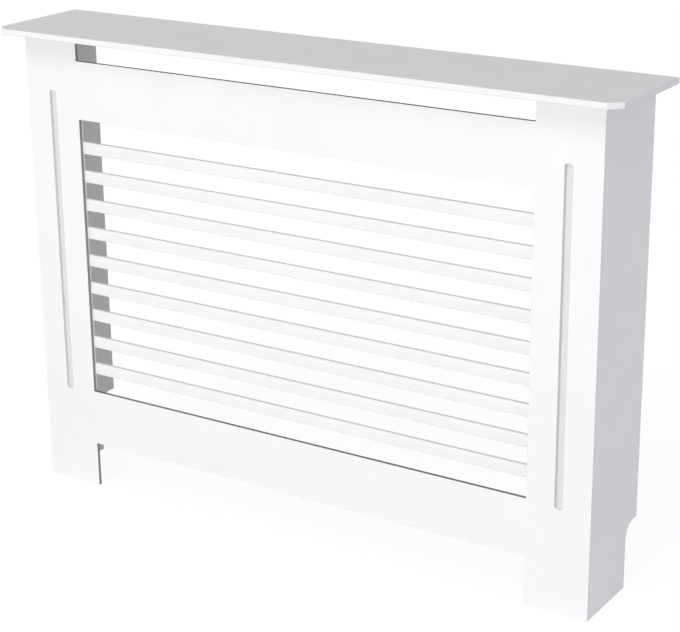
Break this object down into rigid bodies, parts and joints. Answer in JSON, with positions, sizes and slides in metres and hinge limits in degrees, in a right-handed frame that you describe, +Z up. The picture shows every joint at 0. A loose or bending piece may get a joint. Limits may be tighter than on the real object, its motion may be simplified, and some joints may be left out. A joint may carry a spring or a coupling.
{
  "type": "radiator cover cabinet",
  "caption": "Free-standing white radiator cover: a shelf on side panels with a slatted front, open at the back and cut away to clear a skirting board.",
  "frame": {"origin": "on the floor under the middle of the shelf, the bounding box's bottom centre", "axes": "+Z up, +X to the right as seen from the front, +Y towards the wall, so the louvred front faces -Y"},
  "size_m": [1.14, 0.205, 0.815],
  "materials": {
    "white_paint": "white satin paint on fibreboard",
    "batten_pine": "planed softwood, bare",
    "bracket_zinc": "zinc plated",
    "screw_zinc": "zinc plated"
  },
  "bodies": {
    "root": {"top_shelf": "white_paint", "front_panel": "white_paint", "left_side_panel": "white_paint", "right_side_panel": "white_paint", "left_louvre_upright": "white_paint", "right_louvre_upright": "white_paint", "slat_1": "white_paint", "slat_2": "white_paint", "slat_3": "white_paint", "slat_4": "white_paint", "slat_5": "white_paint", "slat_6": "white_paint", "slat_7": "white_paint", "slat_8": "white_paint", "slat_9": "white_paint", "left_corner_batten": "batten_pine", "right_corner_batten": "batten_pine", "left_front_bracket": "bracket_zinc", "right_front_bracket": "bracket_zinc", "left_rear_bracket": "bracket_zinc", "right_rear_bracket": "bracket_zinc", "left_wall_bracket": "bracket_zinc", "right_wall_bracket": "bracket_zinc", "slat_screws": "screw_zinc", "batten_front_screws": "screw_zinc", "batten_side_screws": "screw_zinc", "bracket_upright_screws": "screw_zinc", "bracket_shelf_screws": "screw_zinc"}
  },
  "joints": []
}
